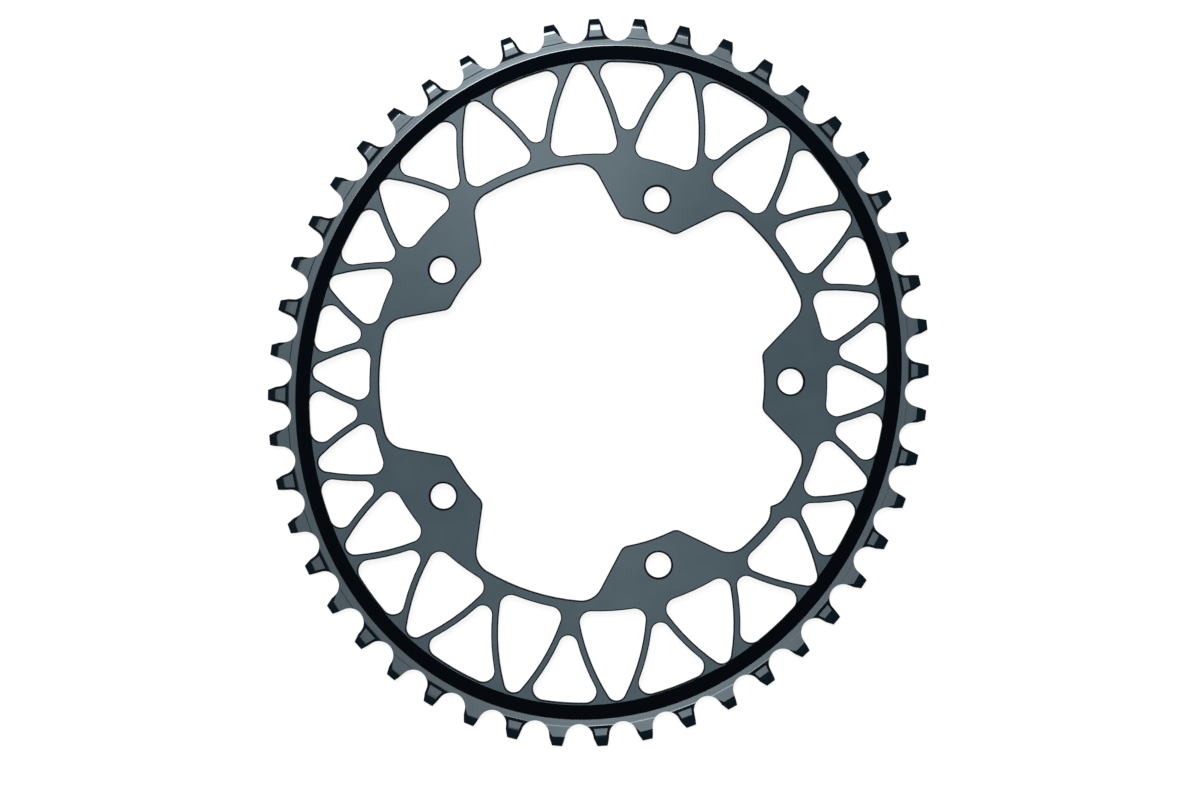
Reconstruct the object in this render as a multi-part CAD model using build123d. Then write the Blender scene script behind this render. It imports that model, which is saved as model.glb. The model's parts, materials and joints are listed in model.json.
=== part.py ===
from build123d import *
import math
import os

# Oval bicycle chainring with alternating narrow and wide teeth, milled as one solid from aluminium plate.
# Millimetres and degrees. The origin is on the ring's axis, in the plane of the bolt tabs' back faces.
# +Z points outboard, away from the bicycle, and +X runs through one bolt hole.

# Chain and pitch curve
CHAIN_PITCH = 12.7
TEETH = 48  # even, because narrow and wide teeth take turns
OVALITY = 1.12  # major over minor axis of the pitch curve
MAJOR_AXIS_ANGLE = 76.0  # from the bolt hole on +X

# Tooth outline, with heights measured from the chord between the two rollers beside the tooth
ROLLER_DIAMETER = 7.75
SEAT_CLEARANCE = 0.125  # of the seat's radius over the roller's
SEAT_HALF_ANGLE = 80.0  # from the bottom of the seat to where the straight flank starts
TIP_HEIGHT = 2.85
TIP_WIDTH = 2.9
TIP_LEAN = 0.2  # of the tip's middle, away from the leading flank
LEADING_TAPER_HEIGHT = 0.7
TRAILING_TAPER_HEIGHT = 1.5

# Tooth thickness and relief
WIDE_TOOTH = 3.8
WIDE_TIP = 1.8
WIDE_ROUND_HEIGHT = 0.0  # where the rounding towards the tip starts
WIDE_FOOT_DEPTH = 2.85  # of the ramp across a wide tooth's foot below the chord
WIDE_FOOT_RUN = 0.3  # width of that ramp
NARROW_TOOTH = 2.1
NARROW_TIP = 0.8
NARROW_ROUND_HEIGHT = -0.35
NARROW_FOOT_DEPTH = 2.2  # of the recessed face's foot below the chord
NARROW_STEP_RUN = 1.05  # width of the slope from that foot up to the rim
NARROW_FACE_WIDTH = 2.9  # of the recessed face, at the chord
NARROW_FACE_FLARE = 13.5  # lean of the recessed face's sides
NARROW_BEVEL_ANGLE = 40.0  # of the bevels along both flanks
LEAD_BEVEL_PLACE = 1.4  # of the wide tooth's lead-in bevel, from the tooth's middle, at the chord
LEAD_BEVEL_LEAN = 37.0
LEAD_BEVEL_ANGLE = 35.0
LEAD_BEVEL_DEPTH = 1.75  # how far it runs below the chord

# Section of the ring, with insets measured inwards from the pitch curve
CHAINLINE_OFFSET = 1.2  # of the teeth's middle plane, inboard of the tabs' back faces
RIM_RELIEF = 0.08  # of the rim's front face below the wide teeth's faces
SLOPE_FOOT_INSET = 5.5
SLOPE_FOOT_RADIUS = 1.2
SLOPE_TOP_INSET = 9.65
WEB_THICKNESS = 3.0
BACK_EDGE_INSET = 5.9
BACK_TOP_INSET = 8.9

# Truss of arched struts between the rim and the inner ring
INNER_RING_WIDTH = 2.8
STRUT_WIDTH = 1.95
STRUT_RADIUS = 60.0
STRUT_NODE_INSET = 6.0
WINDOW_CORNER_RADIUS = 3.2
WINDOW_APEX_RADIUS = 2.65
# Node angles from the major axis, over half a turn. The other half repeats them.
INNER_NODES = [6.9, 27.6, 49.7, 72.2, 92.7, 111.0, 128.7, 147.4, 167.3]
OUTER_NODES = [17.1, 38.1, 61.0, 83.1, 101.5, 120.3, 137.4, 157.1, 178.2]
# Insets of the outer windows' edges along the rim. Those about the minor axis just cut into the slope.
WINDOW_RIM_INSETS = [10.2, 10.05, 9.5, 9.45, 9.45, 9.45, 9.5, 9.95, 10.2]

# Bolt tabs and the opening for the crank's spider
BOLTS = 5
BOLT_CIRCLE = 110.0
BOLT_HOLE = 7.25  # core of an M8 x 0.75 thread
TAB_REACH = 7.55  # from the bolt's axis in to the tab's end
TAB_END_WIDTH = 16.06
TAB_FLANK_ANGLE = 46.0
TAB_CORNER_RADIUS = 3.05
SPIDER_CLEARANCE = 7.7  # from the bolt circle out to the opening's edge
OPENING_FILLET = 6.2
POINTER_HEIGHT = 2.05  # of the nose that shows how the ring is turned on the crank
POINTER_HALF_ANGLE = 54.0
POINTER_RADIUS = 0.7

# Cutting allowance past a face
OVERRUN = 1.0

seat_radius = ROLLER_DIAMETER / 2 + SEAT_CLEARANCE
rim_front = -CHAINLINE_OFFSET + WIDE_TOOTH / 2 - RIM_RELIEF
rim_back = -CHAINLINE_OFFSET - WIDE_TOOTH / 2
opening_radius = BOLT_CIRCLE / 2 + SPIDER_CLEARANCE
tab_end_radius = BOLT_CIRCLE / 2 - TAB_REACH
truss_radius = opening_radius + INNER_RING_WIDTH
bolt_step = 360 / BOLTS


def bisect(function, low, high):
    """Root of a rising function between two bounds."""
    for _ in range(50):
        middle = (low + high) / 2
        if function(middle) < 0:
            low = middle
        else:
            high = middle
    return (low + high) / 2


def pitch_point(minor, angle):
    """Point of a pitch ellipse with this minor half-axis, its major axis along X."""
    return Vector(OVALITY * minor * math.cos(angle), minor * math.sin(angle))


def roller_angles(minor):
    """Ellipse angles of rollers laid one pitch apart, the first two either side of the major axis."""
    angles = [-math.asin(CHAIN_PITCH / (2 * minor))]
    for _ in range(TEETH):
        last = pitch_point(minor, angles[-1])
        step = CHAIN_PITCH / minor

        def gap(angle):
            return (pitch_point(minor, angle) - last).length - CHAIN_PITCH

        angles.append(bisect(gap, angles[-1] + step / 4, angles[-1] + step * 2))
    return angles


def pitch_minor():
    """Minor half-axis on which the chain closes with a whole number of pitches."""
    round_radius = CHAIN_PITCH / (2 * math.sin(math.pi / TEETH))

    def shortfall(minor):
        angles = roller_angles(minor)
        return angles[0] + 2 * math.pi - angles[-1]

    return bisect(shortfall, round_radius / OVALITY / 1.1, round_radius * 1.1)


minor_axis = pitch_minor()
major_axis = OVALITY * minor_axis
rollers = [pitch_point(minor_axis, angle) for angle in roller_angles(minor_axis)]


def oval(inset):
    """Ellipse that runs inside the pitch curve."""
    return Ellipse(major_axis - inset, minor_axis - inset)


def oval_point(inset, angle):
    """Point of that ellipse in the direction of an angle from the major axis."""
    direction = Vector(1, 0).rotate(Axis.Z, angle)
    stretch = math.hypot(direction.X / (major_axis - inset), direction.Y / (minor_axis - inset))
    return direction * (1 / stretch)


def tooth_planes():
    """Plane of each tooth: X the way the ring turns, Y outwards, in the teeth's middle plane."""
    planes = []
    for behind, ahead in zip(rollers[1:], rollers[:-1]):
        middle = (behind + ahead) * 0.5 + Vector(0, 0, -CHAINLINE_OFFSET)
        planes.append(Plane(origin=middle, x_dir=ahead - behind, z_dir=(0, 0, 1)))
    return planes


def tooth_points():
    """Corners of a tooth's outline in its own plane, from the trailing seat to the leading one."""
    lean = math.radians(90 - SEAT_HALF_ANGLE)
    seat_x = CHAIN_PITCH / 2 - seat_radius * math.cos(lean)
    seat_y = -seat_radius * math.sin(lean)

    def flank(height):
        return seat_x - (height - seat_y) * math.tan(lean)

    return [
        (-seat_x, seat_y),
        (-flank(TRAILING_TAPER_HEIGHT), TRAILING_TAPER_HEIGHT),
        (-TIP_LEAN - TIP_WIDTH / 2, TIP_HEIGHT),
        (-TIP_LEAN + TIP_WIDTH / 2, TIP_HEIGHT),
        (flank(LEADING_TAPER_HEIGHT), LEADING_TAPER_HEIGHT),
        (seat_x, seat_y),
    ]


def toothed_outline():
    """Face inside the toothed edge: straight-sided teeth joined by round roller seats."""
    edges = []
    planes = tooth_planes()
    for index, plane in enumerate(planes):
        corners = [plane.from_local_coords(Vector(x, y, CHAINLINE_OFFSET)) for x, y in tooth_points()]
        for start, end in zip(corners[:-1], corners[1:]):
            edges.append(Line(start, end))
        follower = planes[index - 1]
        landing = follower.from_local_coords(Vector(*tooth_points()[0], CHAINLINE_OFFSET))
        inward = (plane.y_dir + follower.y_dir).normalized() * -seat_radius
        edges.append(ThreePointArc(corners[-1], rollers[index] + inward, landing))
    return make_face(Wire(edges))


def side_prism(profile):
    """Outline drawn in a tooth's Y and Z, drawn out along X over the whole tooth."""
    return extrude(Plane.YZ * profile, CHAIN_PITCH * 0.4, both=True)


def rim_relief():
    """Thin layer off the plate's front, all round but on the wide teeth, which keep a ramp at their feet."""
    seated = (Align.CENTER, Align.CENTER, Align.MIN)
    sheet = Cylinder(major_axis + CHAIN_PITCH, RIM_RELIEF + OVERRUN, align=seated)
    low = WIDE_TOOTH / 2 - RIM_RELIEF
    above = WIDE_TOOTH / 2 + OVERRUN
    past = TIP_HEIGHT + OVERRUN
    foot = -WIDE_FOOT_DEPTH - WIDE_FOOT_RUN
    head = -WIDE_FOOT_DEPTH + OVERRUN * WIDE_FOOT_RUN / RIM_RELIEF
    outline = Polyline((foot, low), (past, low), (past, above), (head, above), close=True)
    kept = side_prism(make_face(outline))
    return Pos(0, 0, rim_front) * sheet - [plane.location * kept for plane in tooth_planes()[1::2]]


def ring_blank():
    """Toothed plate with its raised crown in front and its hollow behind, before the web is cut out."""
    plate = Pos(0, 0, rim_back) * extrude(toothed_outline(), WIDE_TOOTH)
    plate -= rim_relief()
    crown_foot = Pos(0, 0, rim_front) * oval(SLOPE_FOOT_INSET)
    crown_top = Pos(0, 0, WEB_THICKNESS) * oval(SLOPE_TOP_INSET)
    plate += loft([crown_foot, crown_top], ruled=True)
    at_rim_front = plate.edges().filter_by_position(Axis.Z, rim_front, rim_front)
    plate = fillet(at_rim_front.sort_by(SortBy.LENGTH)[-1], SLOPE_FOOT_RADIUS)
    slope = (BACK_TOP_INSET - BACK_EDGE_INSET) / -rim_back
    mouth = Pos(0, 0, rim_back - OVERRUN) * oval(BACK_EDGE_INSET - OVERRUN * slope)
    return plate - loft([mouth, oval(BACK_TOP_INSET)], ruled=True)


def tip_profile(thickness, tip_thickness, round_height):
    """Side view of what stands over a tooth's face where it rounds off towards the tip."""
    start = (round_height, thickness / 2)
    end = (TIP_HEIGHT, tip_thickness / 2)
    past = TIP_HEIGHT + OVERRUN
    above = WIDE_TOOTH / 2 + OVERRUN
    rounding = TangentArc(start, end, tangent=(1, 0))
    rest = Polyline(end, (past, tip_thickness / 2), (past, above), (round_height, above), start)
    return make_face(rounding.edges() + rest.edges())


def bevel_cut(thickness, place, lean, angle, depth):
    """Waste over a bevel that falls away from a leaning line on a tooth's face to its leading flank."""
    lean = math.radians(lean)
    start = Vector(place, 0, thickness / 2)
    along = Vector(math.sin(lean), -math.cos(lean), 0)
    across = Vector(math.cos(lean), math.sin(lean), 0)
    normal = across * math.tan(math.radians(angle)) + Vector(0, 0, 1)
    bevel_plane = Plane(origin=start, x_dir=along, z_dir=normal)
    height = TIP_HEIGHT + OVERRUN
    length = (depth + height) / math.cos(lean)
    centre = (depth - height) / math.cos(lean) / 2
    beside = (Align.CENTER, Align.MIN, Align.MIN)
    return bevel_plane * Pos(centre, 0, 0) * Box(length, CHAIN_PITCH / 2, WIDE_TOOTH, align=beside)


def wide_tooth_cut():
    """Waste on the front of a wide tooth: tip rounding and the lead-in bevel."""
    tip = side_prism(tip_profile(WIDE_TOOTH, WIDE_TIP, WIDE_ROUND_HEIGHT))
    place = LEAD_BEVEL_PLACE
    return tip + bevel_cut(WIDE_TOOTH, place, LEAD_BEVEL_LEAN, LEAD_BEVEL_ANGLE, LEAD_BEVEL_DEPTH)


def narrow_tooth_cut():
    """Waste on the front of a narrow tooth: all that stands over its recessed, bevelled face."""
    half = NARROW_TOOTH / 2
    rise = (WIDE_TOOTH - NARROW_TOOTH) / 2 / NARROW_STEP_RUN
    above = WIDE_TOOTH / 2 + OVERRUN
    past = TIP_HEIGHT + OVERRUN
    foot = -NARROW_FOOT_DEPTH
    low = foot + half / rise
    high = foot - (above - half) / rise
    inward = -CHAIN_PITCH / 2
    beyond_step = Polyline((low, 0), (past, 0), (past, above), (high, above), close=True)
    over_face = Polyline((inward, half), (past, half), (past, above), (inward, above), close=True)
    place = NARROW_FACE_WIDTH / 2
    flank = bevel_cut(NARROW_TOOTH, place, NARROW_FACE_FLARE, NARROW_BEVEL_ANGLE, CHAIN_PITCH / 2)
    tip = side_prism(tip_profile(NARROW_TOOTH, NARROW_TIP, NARROW_ROUND_HEIGHT))
    waste = side_prism(make_face(over_face)) + flank + mirror(flank, about=Plane.YZ) + tip
    return waste & side_prism(make_face(beyond_step))


def tooth_cuts():
    """Waste round all the teeth, front and back, wide and narrow in turn."""
    kinds = [narrow_tooth_cut(), wide_tooth_cut()]
    cuts = []
    for index, plane in enumerate(tooth_planes()):
        front = kinds[index % 2]
        cuts.append(plane.location * front)
        cuts.append(plane.location * mirror(front, about=Plane.XY))
    return cuts


def truss_node(nodes, index):
    """Angle of a node, counted on over the second half turn."""
    turns, place = divmod(index, len(nodes))
    return nodes[place] + 180 * turns


def strut_centre(inner_index, outer_index):
    """Centre of a strut's arc, which bows away from the inner window beside it."""
    rising = 1 if outer_index == inner_index else -1
    half_width_angle = math.degrees(STRUT_WIDTH / 2 / truss_radius)
    foot_angle = truss_node(INNER_NODES, inner_index) + rising * half_width_angle
    foot = Vector(truss_radius, 0).rotate(Axis.Z, foot_angle)
    head = oval_point(STRUT_NODE_INSET, truss_node(OUTER_NODES, outer_index))
    run = head - foot
    across = run.rotate(Axis.Z, 90).normalized() * rising
    return (foot + head) * 0.5 + across * math.sqrt(STRUT_RADIUS**2 - (run.length / 2) ** 2)


def rounded_window(face, base, apex):
    """Three-sided window with its corners rounded, which are counted from the ring's axis outwards."""
    face = make_face(face.edges())
    face = fillet(face.vertices().sort_by(SortBy.DISTANCE)[base], WINDOW_CORNER_RADIUS).face()
    return fillet(face.vertices().sort_by(SortBy.DISTANCE)[apex], WINDOW_APEX_RADIUS).face()


def inner_window(index):
    """Window that is wide at the inner ring and comes to a rounded apex at the rim."""
    reach = Circle(STRUT_RADIUS - STRUT_WIDTH / 2)
    rising = Pos(*strut_centre(index, index)) * reach
    falling = Pos(*strut_centre(index + 1, index)) * reach
    head = Vertex(*oval_point(STRUT_NODE_INSET, truss_node(OUTER_NODES, index)))
    face = ((rising & falling) - Circle(truss_radius)).faces().sort_by_distance(head)[0]
    return rounded_window(face, slice(0, 2), -1)


def outer_window(index):
    """Window that is wide at the rim and comes to a rounded apex at the inner ring."""
    reach = Circle(STRUT_RADIUS + STRUT_WIDTH / 2)
    falling = Pos(*strut_centre(index, index - 1)) * reach
    rising = Pos(*strut_centre(index, index)) * reach
    head = Vertex(*oval_point(STRUT_NODE_INSET, truss_node(INNER_NODES, index)))
    face = (oval(WINDOW_RIM_INSETS[index]) - falling - rising).faces().sort_by_distance(head)[0]
    return rounded_window(face, slice(1, 3), 0)


def windows():
    """All windows of the truss, cut through the web."""
    half_turn = [make(index) for index in range(len(INNER_NODES)) for make in (inner_window, outer_window)]
    faces = half_turn + [Rot(0, 0, 180) * face for face in half_turn]
    return [Pos(0, 0, -OVERRUN) * extrude(face, WEB_THICKNESS + 2 * OVERRUN) for face in faces]


def bolt_tab():
    """Outline of the tab round the bolt hole on +X, run out past the opening's edge."""
    end_y = TAB_END_WIDTH / 2
    end_x = math.sqrt(tab_end_radius**2 - end_y**2)
    run = opening_radius + OVERRUN - end_x
    far_y = end_y + run * math.tan(math.radians(TAB_FLANK_ANGLE))
    end = ThreePointArc((end_x, -end_y), (tab_end_radius, 0), (end_x, end_y))
    sides = Polyline((end_x, end_y), (end_x + run, far_y), (end_x + run, -far_y), (end_x, -end_y))
    return make_face(end.edges() + sides.edges())


def pointer():
    """Outline of the nose midway between two bolts, run out past the opening's edge."""
    run = POINTER_HEIGHT + OVERRUN
    half_width = run * math.tan(math.radians(POINTER_HALF_ANGLE))
    tip = opening_radius - POINTER_HEIGHT
    nose = make_face(Polyline((tip, 0), (tip + run, half_width), (tip + run, -half_width), close=True))
    return Rot(0, 0, -bolt_step / 2) * nose


def spider_opening():
    """Opening for the crank's spider, cut round the tabs and the pointer with every corner rounded."""
    tabs = [Rot(0, 0, bolt_step * index) * bolt_tab() for index in range(BOLTS)]
    face = (Circle(opening_radius) - tabs - pointer()).face()
    near = 0.01

    def at_radius(radius):
        return [v for v in face.vertices() if abs(v.center().length - radius) < near]

    face = fillet(at_radius(opening_radius), OPENING_FILLET).face()
    face = fillet(at_radius(tab_end_radius), TAB_CORNER_RADIUS).face()
    face = fillet(at_radius(opening_radius - POINTER_HEIGHT), POINTER_RADIUS).face()
    return Pos(0, 0, -OVERRUN) * extrude(face, WEB_THICKNESS + 2 * OVERRUN)


def bolt_holes():
    """Thread cores through the tabs."""
    hole = Cylinder(BOLT_HOLE / 2, WEB_THICKNESS + 2 * OVERRUN)
    middle = WEB_THICKNESS / 2
    return [Rot(0, 0, bolt_step * index) * Pos(BOLT_CIRCLE / 2, 0, middle) * hole for index in range(BOLTS)]


def chainring():
    """The whole ring, turned so that +X runs through a bolt hole."""
    ring = ring_blank() - windows() - tooth_cuts()
    return Rot(0, 0, MAJOR_AXIS_ANGLE) * ring - spider_opening() - bolt_holes()


os.makedirs("parts", exist_ok=True)
export_step(chainring().solid(), "parts/chainring.step")
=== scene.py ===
import json
import math

import bmesh
import bpy
from mathutils import Matrix, Vector


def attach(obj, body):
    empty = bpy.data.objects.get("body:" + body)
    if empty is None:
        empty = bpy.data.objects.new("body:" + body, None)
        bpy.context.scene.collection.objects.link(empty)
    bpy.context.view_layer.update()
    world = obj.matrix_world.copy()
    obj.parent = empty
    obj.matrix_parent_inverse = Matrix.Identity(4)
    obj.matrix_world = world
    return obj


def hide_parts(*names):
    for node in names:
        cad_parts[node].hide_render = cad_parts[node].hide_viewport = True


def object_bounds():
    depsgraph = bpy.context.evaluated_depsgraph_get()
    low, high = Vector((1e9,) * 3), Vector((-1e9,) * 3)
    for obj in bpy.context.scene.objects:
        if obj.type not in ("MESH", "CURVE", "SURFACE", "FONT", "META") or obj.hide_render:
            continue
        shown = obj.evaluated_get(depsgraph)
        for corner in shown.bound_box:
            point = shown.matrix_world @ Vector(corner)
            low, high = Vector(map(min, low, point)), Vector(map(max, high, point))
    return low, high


# Looks of an oval chainring in black anodising, satin on its faces and glossy on its slopes, bevels and
# edges: the faces' slate grey is painted sheen, and the near-black of slopes, bevels and edges is painted
# shade.
# Metres, in the part's own frame: +Z outboard, +X through a bolt hole, the origin on the ring's axis.
MM = 0.001

# Camera, which looks straight down at the ring as the 1200 x 800 photograph does
IMAGE_WIDTH = 1200
IMAGE_CENTRE = (600.0, 400.0)
RING_CENTRE = (598.3, 382.45)  # pixel where the ring's axis shows
PIXELS_PER_MM = 3.4928
RING_TURN = 0.25  # degrees that the ring is turned in the picture
CAMERA_DISTANCE = 1.0
SENSOR_WIDTH = 36.0

# Ring
OVALITY = 1.12
MAJOR_AXIS_ANGLE = 76.0
TO_OVAL = Matrix.Rotation(-math.radians(MAJOR_AXIS_ANGLE), 3, "Z")  # from the part's axes to the oval's
BOLT_CIRCLE_NAME = "spider_bolts"
RIM_FRONT = 0.62 * MM
RIM_LEVEL = 1.0 * MM  # between the rim's front face and the web's
CROWN_LEVEL = 2.5 * MM  # just under the edges of the web's front
WEB_FRONT = 3.0 * MM
SLOPE_FOOT_RADIUS = 1.2 * MM
SLOPE_FOOT_RISE = 0.2 * MM  # a little over the height of the round at the slope's foot
SLOPE_FOOT_REACH = 97.8 * MM  # along the major axis, between that round and the teeth
SLOPE_TOP_AXES = (92.855 * MM, 81.872 * MM)  # half axes of the slope's top edge
LIP_RUN = 0.24 * MM  # of the low lips on the narrow teeth's steps
LIP_RISE = 0.06 * MM
EDGE_CHAMFER = 0.36 * MM
HOLE_CHAMFER = 0.56 * MM
LEAST_LAND = 0.06 * MM  # left between a chamfer and the slope

# Thread of the bolt holes
THREAD_PITCH = 0.75 * MM
THREAD_DEPTH = 0.37 * MM
THREAD_RUN_OUT = 0.3 * MM
THREAD_CREST = 0.25  # share of half a pitch that the crest takes
THREAD_FLANK = 0.6  # share that a flank takes
THREAD_ROWS = 10  # for one turn

# How the ring's faces and edges are told apart
WELD = 0.001 * MM
LEVEL_TOLERANCE = 0.02 * MM
HOLE_TOLERANCE = 0.04 * MM
SMOOTH_ANGLE = 20.0
LEVEL_NORMAL = 0.9998  # upright part of a level face's normal
GENTLE_NORMAL = 0.84  # the least of that on a gentle slope
WALL_NORMAL = 0.1  # the most of that on an upright wall
RAMP_LEAN = 0.1  # inward part of a ramp's normal, at the least

# Finishes, in the order in which the ring holds them
WEB, RIM, SLOPE, WALL, RAMP, TIP = range(6)

# Colours: one black anodising, painted a lighter grey on level faces as painted sheen, and near-black on
# slopes, tips and walls as painted shade
WHITE = (1, 1, 1, 1)
# web: a slate grey of painted sheen, in two tones that vary at random
WEB_PAINTED_SHEEN_GREY = (0.034, 0.055, 0.070)
WEB_PAINTED_SHEEN_DIM = (0.026, 0.045, 0.058)
# rim and ramps: a darker grey of painted sheen, in two tones along the turning marks
RIM_PAINTED_SHEEN_GREY = (0.024, 0.039, 0.050)
RIM_PAINTED_SHEEN_DIM = (0.016, 0.029, 0.038)
# tips and bevels of the teeth: a dark teal of painted shade
TIP_PAINTED_SHADE = (0.0024, 0.0085, 0.0135)
TIP_PAINTED_SHADE_DEEP = (0.0018, 0.0068, 0.0108)
# slopes: a near-black of painted shade
SLOPE_PAINTED_SHADE = (0.0002, 0.0016, 0.0036)
SLOPE_PAINTED_SHADE_DEEP = (0.0001, 0.0011, 0.0027)
# walls: a near-black of painted shade
WALL_PAINTED_SHADE = (0.0022, 0.0065, 0.0100)

# Sheen: its tint, its strength, the range of roughness, and how far turning marks draw it out
FACE_SHEEN = (0.77, 0.92, 1.0)
SLOPE_SHEEN = (0.86, 0.95, 1.0)
WEB_GLOSS = 0.20
RIM_GLOSS = 0.56
SLOPE_GLOSS = 0.40
RAMP_GLOSS = 0.28
WALL_GLOSS = 0.05
WEB_ROUGHNESS = (0.32, 0.37)
RIM_ROUGHNESS = (0.36, 0.44)
SLOPE_ROUGHNESS = (0.07, 0.10)
RAMP_ROUGHNESS = (0.22, 0.28)
WALL_ROUGHNESS = 0.55
WEB_DRAW = 0.6
RIM_DRAW = 0.82

# Surface texture: size, height and levels of detail
GRAIN = 0.25 * MM
GRAIN_HEIGHT = 0.004 * MM
GRAIN_DETAIL = 2
CLOUD = 9 * MM
CLOUD_DETAIL = 4
TURNING_LINES = 0.4 * MM
TURNING_HEIGHT = 0.003 * MM
TURNING_DETAIL = 3
TEXTURE_RANGE = (0.3, 0.7)  # where most of a texture's values lie

# Light
WORLD_LIGHT = 0.06
LAMP_DISTANCE = 1.6
KEY_AZIMUTH = 105.0
KEY_TILT = 18.0
KEY_SIZE = (0.40, 0.62)
KEY_RADIANCE = 33.0
FILL_AZIMUTH = 195.0
FILL_TILT = 11.0
FILL_SIZE = (0.80, 0.56)
FILL_RADIANCE = 2.8

# Floor, which bends up to a low backdrop
FLOOR_REACH = 2.2
FLOOR_RINGS = 4
SWEEP_RADIUS = 0.8
SWEEP_STEPS = 12
FLOOR_SEGMENTS = 96
FLOOR_COLOUR = (0.16, 0.16, 0.16)
FLOOR_GLOW = 0.88  # what a fully shaded floor shows


def link(item):
    bpy.context.scene.collection.objects.link(item)
    return item


def new_object(name, mesh):
    data = bpy.data.meshes.new(name)
    mesh.to_mesh(data)
    mesh.free()
    return link(bpy.data.objects.new(name, data))


# Oval

def oval_outward(place):
    """Direction square to the oval at a place, as long as the oval's half major axis there."""
    along, across, _ = TO_OVAL @ place
    reach = math.hypot(along, across * OVALITY)
    outward = TO_OVAL.inverted() @ Vector((along, across * OVALITY**2, 0))
    return outward.normalized() * reach


def past_slope_top(place):
    """How far a place is outside the slope's top edge, and the direction outward there."""
    half_along, half_across = SLOPE_TOP_AXES
    along, across, _ = TO_OVAL @ place
    share = math.hypot(along / half_along, across / half_across)
    slant = Vector((along / half_along**2, across / half_across**2, 0)) / share
    return (share - 1) / slant.length, TO_OVAL.inverted() @ slant.normalized()


# Chamfers

def is_web_edge(edge):
    """Whether an edge lies between an upright wall and the web's front or back."""
    heights = [vert.co.z for vert in edge.verts]
    in_front = min(heights) > CROWN_LEVEL
    behind = max(abs(height) for height in heights) < LEVEL_TOLERANCE
    uprights = sorted(abs(face.normal.z) for face in edge.link_faces)
    return (in_front or behind) and uprights[0] < WALL_NORMAL and uprights[1] > GENTLE_NORMAL


def bolt_axes(pattern):
    """Places of the bolt holes, from the record's bolt pattern."""
    radius = pattern["dims"]["pcd_mm"] * MM / 2
    count = pattern["dims"]["count"]
    turns = [2 * math.pi * index / count for index in range(count)]
    return [Vector((radius * math.cos(turn), radius * math.sin(turn), 0)) for turn in turns]


def beside(point, axis, radius):
    return (point.xy - axis.xy).length < radius


def chamfer_edges(mesh, edges, width):
    bmesh.ops.bevel(
        mesh,
        geom=edges,
        offset=width,
        offset_type="OFFSET",
        segments=1,
        affect="EDGES",
        clamp_overlap=False,
        loop_slide=False,
    )


def chamfer_web(mesh, axes, hole_radius):
    """Small chamfers round the windows and the opening, and wider ones on the bolt holes."""
    edges = [edge for edge in mesh.edges if is_web_edge(edge)]
    reach = hole_radius + HOLE_CHAMFER
    of_holes = {edge for edge in edges if any(beside(edge.verts[0].co, axis, reach) for axis in axes)}
    hole_edges = [edge for edge in edges if edge in of_holes]
    other_edges = [edge for edge in edges if edge not in of_holes]
    chamfer_edges(mesh, other_edges, EDGE_CHAMFER)
    chamfer_edges(mesh, hole_edges, HOLE_CHAMFER)


def is_slope_top(edge):
    """Whether an edge lies between the web's front and the slope round it."""
    in_front = min(vert.co.z for vert in edge.verts) > WEB_FRONT - LEVEL_TOLERANCE
    least_upright = min(face.normal.z for face in edge.link_faces)
    return in_front and GENTLE_NORMAL < least_upright < LEVEL_NORMAL


def end_chamfers(mesh):
    """Ends the chamfers just short of the slope, where the land between them is narrower than a chamfer."""
    mesh.normal_update()
    at_slope = {vert for edge in mesh.edges if is_slope_top(edge) for vert in edge.verts}
    for vert in mesh.verts:
        if vert in at_slope or vert.co.z <= WEB_FRONT - LEVEL_TOLERANCE:
            continue
        way, outward = past_slope_top(vert.co)
        if way > -LEAST_LAND:
            vert.co -= outward * (way + LEAST_LAND)


# Threads

def groove(turns):
    """How deep the thread's groove is, from 0 on a crest to 1 at a root."""
    rise = 1 - abs(2 * (turns % 1) - 1)
    return min(1, max(0, (rise - THREAD_CREST) / THREAD_FLANK))


def angle_round(vert, axis):
    offset = vert.co - axis
    return math.atan2(offset.y, offset.x)


def open_hole(mesh, axis, hole_radius):
    """Takes out a bolt hole's plain wall. Gives its lower and upper rim, each in order round the hole."""
    reach = hole_radius + HOLE_TOLERANCE
    wall = [
        face
        for face in mesh.faces
        if abs(face.normal.z) < WALL_NORMAL and all(beside(vert.co, axis, reach) for vert in face.verts)
    ]
    rims = {vert for face in wall for vert in face.verts}
    bmesh.ops.delete(mesh, geom=wall, context="FACES")
    rims = [vert for vert in rims if vert.is_valid]
    rims.sort(key=lambda vert: angle_round(vert, axis))
    middle = sum(vert.co.z for vert in rims) / len(rims)
    low = [vert for vert in rims if vert.co.z < middle]
    high = [vert for vert in rims if vert.co.z > middle]
    return low, high


def thread_hole(mesh, axis, hole_radius):
    """Puts a helical thread in place of a bolt hole's plain wall."""
    low, high = open_hole(mesh, axis, hole_radius)
    bottom = low[0].co.z
    height = high[0].co.z - bottom
    count = round(height / THREAD_PITCH * THREAD_ROWS)
    rows = [low]
    for step in range(1, count):
        rise = height * step / count
        depth = THREAD_DEPTH * min(1, rise / THREAD_RUN_OUT, (height - rise) / THREAD_RUN_OUT)
        row = []
        for vert in low:
            angle = angle_round(vert, axis)
            radius = hole_radius + depth * groove(rise / THREAD_PITCH - angle / (2 * math.pi))
            out = Vector((math.cos(angle), math.sin(angle), 0))
            row.append(mesh.verts.new(axis + out * radius + Vector((0, 0, bottom + rise))))
        rows.append(row)
    rows.append(high)
    for lower, upper in zip(rows[:-1], rows[1:]):
        for index in range(len(lower)):
            mesh.faces.new((lower[index - 1], upper[index - 1], upper[index], lower[index]))


# Lips

def step_tops(mesh):
    """Edges between the rim's front face and the narrow teeth's steps, each with its step."""
    tops = []
    for edge in mesh.edges:
        step, rim = sorted(edge.link_faces, key=lambda face: face.normal.z)
        at_rim = all(abs(vert.co.z - RIM_FRONT) < LEVEL_TOLERANCE for vert in edge.verts)
        if at_rim and rim.normal.z > LEVEL_NORMAL and WALL_NORMAL < step.normal.z < GENTLE_NORMAL:
            tops.append((edge, step))
    return tops


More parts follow.
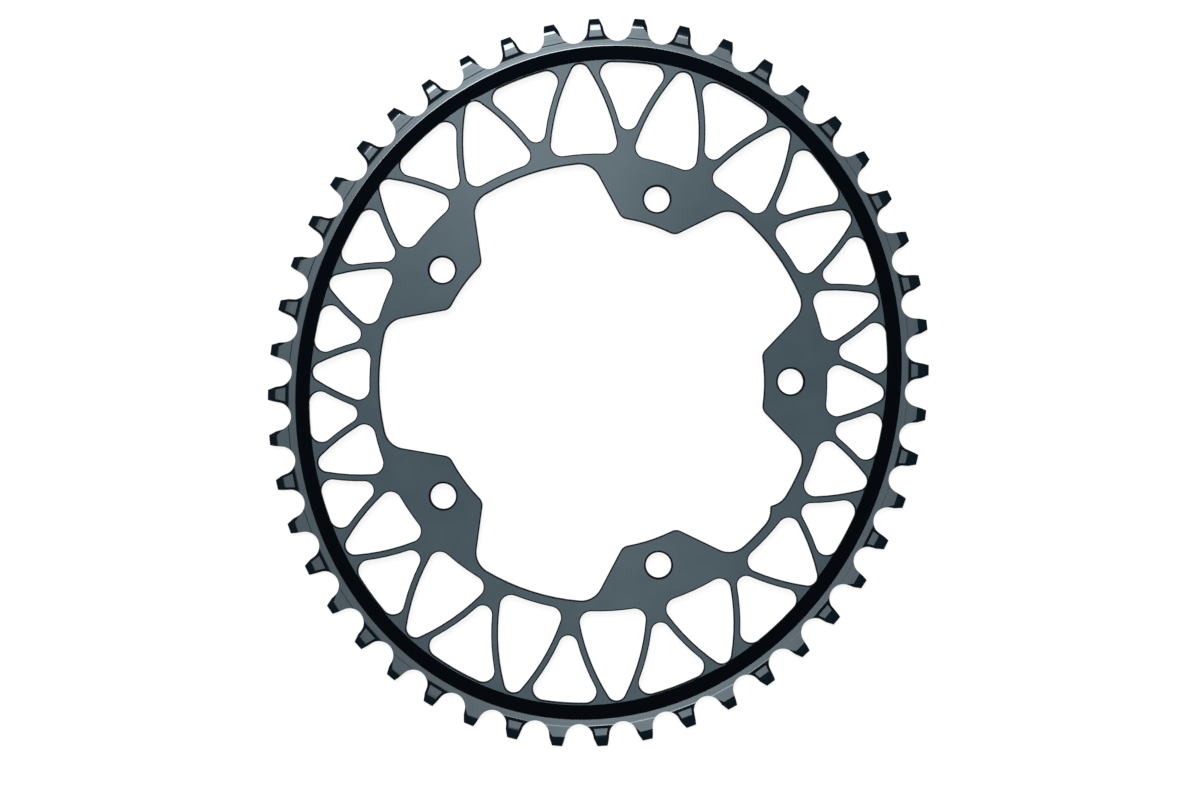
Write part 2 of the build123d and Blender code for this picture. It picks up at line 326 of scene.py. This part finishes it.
def raise_lip(mesh, edge, step):
    """Low lip along the top of a narrow tooth's step, like the ramp at a wide tooth's foot."""
    top = (edge.verts[0].co + edge.verts[1].co) / 2
    out = Vector((step.normal.x, step.normal.y, 0)).normalized()
    foot = top - out * LIP_RUN
    reach = edge.calc_length()

    def on_rim(vert):
        return abs(vert.co.z - RIM_FRONT) < LEVEL_TOLERANCE and (vert.co - top).length < reach

    faces = dict.fromkeys(face for vert in mesh.verts if on_rim(vert) for face in vert.link_faces)
    rim = [face for face in faces if face.normal.z > LEVEL_NORMAL]
    around = dict.fromkeys(part for face in rim for part in (*face.verts, *face.edges))
    bmesh.ops.bisect_plane(mesh, geom=rim + list(around), dist=WELD, plane_co=foot, plane_no=out)
    for vert in mesh.verts:
        run = (vert.co - foot).dot(out)
        if on_rim(vert) and 0 < run < LIP_RUN + WELD:
            vert.co.z = RIM_FRONT + LIP_RISE * run / LIP_RUN


# Dressed ring

def finish_of(face):
    """Finish that a face takes, by how and where it lies. Through its colour the tilt of a face picks
    painted light: level faces and ramps get a grey of painted sheen, and slopes, tips and walls a
    near-black of painted shade.
    """
    centre = face.calc_center_median()
    if abs(face.normal.z) < GENTLE_NORMAL:
        return WALL
    if abs(face.normal.z) < LEVEL_NORMAL:
        outward = oval_outward(centre)
        if face.normal.dot(outward.normalized()) < -RAMP_LEAN and centre.z < RIM_LEVEL:
            return RAMP
        return TIP if outward.length > SLOPE_FOOT_REACH else SLOPE
    web_over = RIM_LEVEL if face.normal.z > 0 else -RIM_LEVEL
    return WEB if centre.z > web_over else RIM


def finish_faces(mesh):
    """Gives every face its finish, and keeps edges sharp where the finish changes or the surface turns."""
    for face in mesh.faces:
        face.material_index = finish_of(face)
        face.smooth = True
    for edge in mesh.edges:
        turn = math.degrees(edge.calc_face_angle(math.pi))
        finishes = {face.material_index for face in edge.link_faces}
        edge.smooth = turn < SMOOTH_ANGLE and len(finishes) == 1


def foot_normal(place):
    """Normal of the true round at the slope's foot."""
    tilt = math.acos(1 - max(0, place.z - RIM_FRONT) / SLOPE_FOOT_RADIUS)
    return oval_outward(place).normalized() * math.sin(tilt) + Vector((0, 0, math.cos(tilt)))


def round_slope_foot(data):
    """Gives the few facets of that round its true normals, so that light runs along it in a fine line."""
    normals = [Vector()] * len(data.loops)
    for face in data.polygons:
        low = RIM_FRONT < face.center.z < RIM_FRONT + SLOPE_FOOT_RISE
        if low and face.material_index == SLOPE and oval_outward(face.center).length < SLOPE_FOOT_REACH:
            for loop in face.loop_indices:
                normals[loop] = foot_normal(data.vertices[data.loops[loop].vertex_index].co)
    data.normals_split_custom_set(normals)


def dress_ring(node, pattern, materials):
    """The ring's own mesh with chamfered edges, threaded bolt holes, lips and a finish on every face."""
    mesh = bmesh.new()
    mesh.from_mesh(node.data)
    bmesh.ops.remove_doubles(mesh, verts=mesh.verts, dist=WELD)
    axes = bolt_axes(pattern)
    hole_radius = pattern["dims"]["hole_r_mm"] * MM
    chamfer_web(mesh, axes, hole_radius)
    end_chamfers(mesh)
    for axis in axes:
        thread_hole(mesh, axis, hole_radius)
    for edge, step in step_tops(mesh):
        raise_lip(mesh, edge, step)
    bmesh.ops.recalc_face_normals(mesh, faces=mesh.faces)
    mesh.normal_update()
    finish_faces(mesh)
    ring = new_object("anodised_chainring", mesh)
    round_slope_foot(ring.data)
    for material in materials:
        ring.data.materials.append(material)
    return ring


# Textures

def new_material(name):
    material = bpy.data.materials.new(name)
    material.use_nodes = True
    tree = material.node_tree
    return material, tree, tree.nodes["Principled BSDF"]


def noise(tree, place, size, detail):
    node = tree.nodes.new("ShaderNodeTexNoise")
    node.inputs["Scale"].default_value = 1 / size
    node.inputs["Detail"].default_value = detail
    tree.links.new(place, node.inputs["Vector"])
    return node.outputs["Fac"]


def part_place(tree):
    """Place in the part's own frame."""
    return tree.nodes.new("ShaderNodeTexCoord").outputs["Object"]


def rotated(tree, vector, angle):
    node = tree.nodes.new("ShaderNodeVectorRotate")
    node.rotation_type = "Z_AXIS"
    node.inputs["Angle"].default_value = math.radians(angle)
    tree.links.new(vector, node.inputs["Vector"])
    return node.outputs["Vector"]


def oval_place(tree, stretch):
    """Place along the oval's axes, stretched along the minor one."""
    node = tree.nodes.new("ShaderNodeVectorMath")
    node.operation = "MULTIPLY"
    node.inputs[1].default_value = (1, stretch, 0)
    tree.links.new(rotated(tree, part_place(tree), -MAJOR_AXIS_ANGLE), node.inputs[0])
    return node.outputs["Vector"]


def turning_marks(tree):
    """Fine lines that run round the oval, as a turned face has them."""
    length = tree.nodes.new("ShaderNodeVectorMath")
    length.operation = "LENGTH"
    tree.links.new(oval_place(tree, OVALITY), length.inputs[0])
    lines = tree.nodes.new("ShaderNodeTexNoise")
    lines.noise_dimensions = "1D"
    lines.inputs["Scale"].default_value = 1 / TURNING_LINES
    lines.inputs["Detail"].default_value = TURNING_DETAIL
    tree.links.new(length.outputs["Value"], lines.inputs["W"])
    return lines.outputs["Fac"]


def spread(tree, value, low, high):
    """Value from a texture, taken from its usual middle range to a range of its own."""
    node = tree.nodes.new("ShaderNodeMapRange")
    node.inputs["From Min"].default_value, node.inputs["From Max"].default_value = TEXTURE_RANGE
    node.inputs["To Min"].default_value = low
    node.inputs["To Max"].default_value = high
    tree.links.new(value, node.inputs["Value"])
    return node.outputs["Result"]


def two_tones(tree, value, first, second):
    node = tree.nodes.new("ShaderNodeMix")
    node.data_type = "RGBA"
    tree.links.new(spread(tree, value, 0, 1), node.inputs["Factor"])
    for socket in node.inputs:
        if socket.type == "RGBA":
            socket.default_value = (*(first if socket.name == "A" else second), 1)
    return next(socket for socket in node.outputs if socket.type == "RGBA")


def bump(tree, value, height):
    node = tree.nodes.new("ShaderNodeBump")
    node.inputs["Distance"].default_value = height
    tree.links.new(value, node.inputs["Height"])
    return node.outputs["Normal"]


def set_sheen(shader, gloss, tint):
    shader.inputs["Specular IOR Level"].default_value = gloss
    shader.inputs["Specular Tint"].default_value = (*tint, 1)


def draw_sheen(tree, shader, amount):
    """Draws the sheen out square to the turning marks."""
    outward = rotated(tree, oval_place(tree, OVALITY**2), MAJOR_AXIS_ANGLE)
    tree.links.new(outward, shader.inputs["Tangent"])
    shader.inputs["Anisotropic"].default_value = amount


# Finishes

def web_finish():
    """Satin anodising with a fine grain and a faint cloudiness, whose grey is painted sheen."""
    material, tree, shader = new_material("satin_web_painted_sheen")
    place = part_place(tree)
    grain = noise(tree, place, GRAIN, GRAIN_DETAIL)
    cloud = noise(tree, place, CLOUD, CLOUD_DETAIL)
    tree.links.new(two_tones(tree, cloud, WEB_PAINTED_SHEEN_DIM, WEB_PAINTED_SHEEN_GREY), shader.inputs["Base Color"])
    tree.links.new(spread(tree, grain, *WEB_ROUGHNESS), shader.inputs["Roughness"])
    tree.links.new(bump(tree, grain, GRAIN_HEIGHT), shader.inputs["Normal"])
    draw_sheen(tree, shader, WEB_DRAW)
    set_sheen(shader, WEB_GLOSS, FACE_SHEEN)
    return material


def rim_finish():
    """The same anodising and grey of painted sheen over turning marks, which spread the light across them.
    """
    material, tree, shader = new_material("turned_rim_painted_sheen")
    marks = turning_marks(tree)
    tree.links.new(two_tones(tree, marks, RIM_PAINTED_SHEEN_DIM, RIM_PAINTED_SHEEN_GREY), shader.inputs["Base Color"])
    tree.links.new(spread(tree, marks, *RIM_ROUGHNESS), shader.inputs["Roughness"])
    tree.links.new(bump(tree, marks, TURNING_HEIGHT), shader.inputs["Normal"])
    draw_sheen(tree, shader, RIM_DRAW)
    set_sheen(shader, RIM_GLOSS, FACE_SHEEN)
    return material


def smooth_finish(name, shade, colour, roughness, gloss):
    """Anodising on what a cutter left smooth, in the colours of painted shade or painted sheen that it is
    given.
    """
    material, tree, shader = new_material(name)
    marks = turning_marks(tree)
    tree.links.new(two_tones(tree, marks, shade, colour), shader.inputs["Base Color"])
    tree.links.new(spread(tree, marks, *roughness), shader.inputs["Roughness"])
    set_sheen(shader, gloss, SLOPE_SHEEN)
    return material


def slope_finish():
    """Slope between the rim and the web, near-black as painted shade."""
    return smooth_finish("glossy_slopes_painted_shade", SLOPE_PAINTED_SHADE_DEEP, SLOPE_PAINTED_SHADE, SLOPE_ROUGHNESS, SLOPE_GLOSS)


def ramp_finish():
    """Ramps and lips at the teeth's feet, in the rim's grey of painted sheen."""
    return smooth_finish("smooth_ramps_painted_sheen", RIM_PAINTED_SHEEN_DIM, RIM_PAINTED_SHEEN_GREY, RAMP_ROUGHNESS, RAMP_GLOSS)


def tip_finish():
    """Rounded tips and bevels of the teeth, dark teal as painted shade."""
    return smooth_finish("glossy_tips_painted_shade", TIP_PAINTED_SHADE_DEEP, TIP_PAINTED_SHADE, SLOPE_ROUGHNESS, SLOPE_GLOSS)


def wall_finish():
    """Dull anodising on walls, steps, steep bevels and chamfers, near-black as painted shade."""
    material, _, shader = new_material("dull_walls_painted_shade")
    shader.inputs["Base Color"].default_value = (*WALL_PAINTED_SHADE, 1)
    shader.inputs["Roughness"].default_value = WALL_ROUGHNESS
    shader.inputs["Specular IOR Level"].default_value = WALL_GLOSS
    return material


# Stage

def floor_finish():
    """Pale floor, white as far as it is lit."""
    material, tree, shader = new_material("pale_floor")
    path = tree.nodes.new("ShaderNodeLightPath")
    seen = path.outputs["Is Camera Ray"]
    for name in ("Is Glossy Ray", "Is Transmission Ray"):
        either = tree.nodes.new("ShaderNodeMath")
        either.operation = "MAXIMUM"
        tree.links.new(seen, either.inputs[0])
        tree.links.new(path.outputs[name], either.inputs[1])
        seen = either.outputs[0]
    glow = tree.nodes.new("ShaderNodeMath")
    glow.operation = "MULTIPLY"
    glow.inputs[1].default_value = FLOOR_GLOW
    tree.links.new(seen, glow.inputs[0])
    shader.inputs["Base Color"].default_value = (*FLOOR_COLOUR, 1)
    shader.inputs["Roughness"].default_value = 1.0
    shader.inputs["Specular IOR Level"].default_value = 0.0
    shader.inputs["Emission Color"].default_value = WHITE
    tree.links.new(glow.outputs[0], shader.inputs["Emission Strength"])
    return material


def floor_profile():
    """Distance from the middle and height of the floor's rings, from the middle out."""
    profile = [(FLOOR_REACH * ring / FLOOR_RINGS, 0.0) for ring in range(FLOOR_RINGS + 1)]
    for step in range(1, SWEEP_STEPS + 1):
        bend = math.radians(90 * step / SWEEP_STEPS)
        out = FLOOR_REACH + SWEEP_RADIUS * math.sin(bend)
        profile.append((out, SWEEP_RADIUS * (1 - math.cos(bend))))
    return profile


def make_floor(level):
    """Round floor under the ring, bent up at its far edge."""
    mesh = bmesh.new()
    verts = [mesh.verts.new((out, 0, level + height)) for out, height in floor_profile()]
    edges = [mesh.edges.new(pair) for pair in zip(verts[:-1], verts[1:])]
    bmesh.ops.spin(
        mesh,
        geom=verts + edges,
        cent=(0, 0, 0),
        axis=(0, 0, 1),
        angle=2 * math.pi,
        steps=FLOOR_SEGMENTS,
        use_merge=True,
    )
    bmesh.ops.remove_doubles(mesh, verts=mesh.verts, dist=WELD)
    bmesh.ops.recalc_face_normals(mesh, faces=mesh.faces)
    for face in mesh.faces:
        face.smooth = True
    floor = new_object("floor", mesh)
    floor.data.materials.append(floor_finish())


def light_world():
    world = bpy.data.worlds.new("studio")
    world.use_nodes = True
    background = world.node_tree.nodes["Background"]
    background.inputs["Color"].default_value = WHITE
    background.inputs["Strength"].default_value = WORLD_LIGHT
    bpy.context.scene.world = world


def add_lamp(name, azimuth, tilt, size, radiance):
    """Soft lamp that faces the ring from an azimuth, tilted from straight above."""
    lamp = bpy.data.lights.new(name, "AREA")
    lamp.shape = "RECTANGLE"
    lamp.size, lamp.size_y = size
    lamp.energy = radiance * math.pi * size[0] * size[1]
    swing = Matrix.Rotation(math.radians(azimuth - 90), 4, "Z")
    lean = Matrix.Rotation(-math.radians(tilt), 4, "X")
    place = link(bpy.data.objects.new(name, lamp))
    place.matrix_world = swing @ lean @ Matrix.Translation((0, 0, LAMP_DISTANCE))


def add_camera(height):
    """Camera straight above, with the ring placed and turned in the picture as in the photograph."""
    camera = bpy.data.cameras.new("camera")
    camera.sensor_width = SENSOR_WIDTH
    camera.lens = PIXELS_PER_MM / MM * CAMERA_DISTANCE * SENSOR_WIDTH / IMAGE_WIDTH
    right = (IMAGE_CENTRE[0] - RING_CENTRE[0]) / PIXELS_PER_MM * MM
    up = (RING_CENTRE[1] - IMAGE_CENTRE[1]) / PIXELS_PER_MM * MM
    turn = Matrix.Rotation(-math.radians(RING_TURN), 4, "Z")
    view = link(bpy.data.objects.new("camera", camera))
    view.matrix_world = turn @ Matrix.Translation((right, up, height + CAMERA_DISTANCE))
    bpy.context.scene.camera = view


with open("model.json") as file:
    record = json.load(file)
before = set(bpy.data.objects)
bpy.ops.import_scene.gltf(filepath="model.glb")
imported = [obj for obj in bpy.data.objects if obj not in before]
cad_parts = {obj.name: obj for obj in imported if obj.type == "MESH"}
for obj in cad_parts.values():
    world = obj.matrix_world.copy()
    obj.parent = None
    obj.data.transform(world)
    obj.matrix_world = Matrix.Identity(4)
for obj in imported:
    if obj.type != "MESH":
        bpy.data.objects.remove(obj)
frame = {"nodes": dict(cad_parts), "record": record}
cad_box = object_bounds()

pattern = next(mount for mount in frame["record"]["mounts"] if mount["name"] == BOLT_CIRCLE_NAME)
finishes = {
    WEB: web_finish(),
    RIM: rim_finish(),
    SLOPE: slope_finish(),
    WALL: wall_finish(),
    RAMP: ramp_finish(),
    TIP: tip_finish(),
}
ring = dress_ring(frame["nodes"]["chainring"], pattern, finishes.values())
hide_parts("chainring")
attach(ring, "root")

low, high = cad_box
make_floor(low.z)
light_world()
add_lamp("key_lamp", KEY_AZIMUTH, KEY_TILT, KEY_SIZE, KEY_RADIANCE)
add_lamp("fill_lamp", FILL_AZIMUTH, FILL_TILT, FILL_SIZE, FILL_RADIANCE)
add_camera(high.z / 2)
bpy.context.scene.view_settings.view_transform = "Standard"
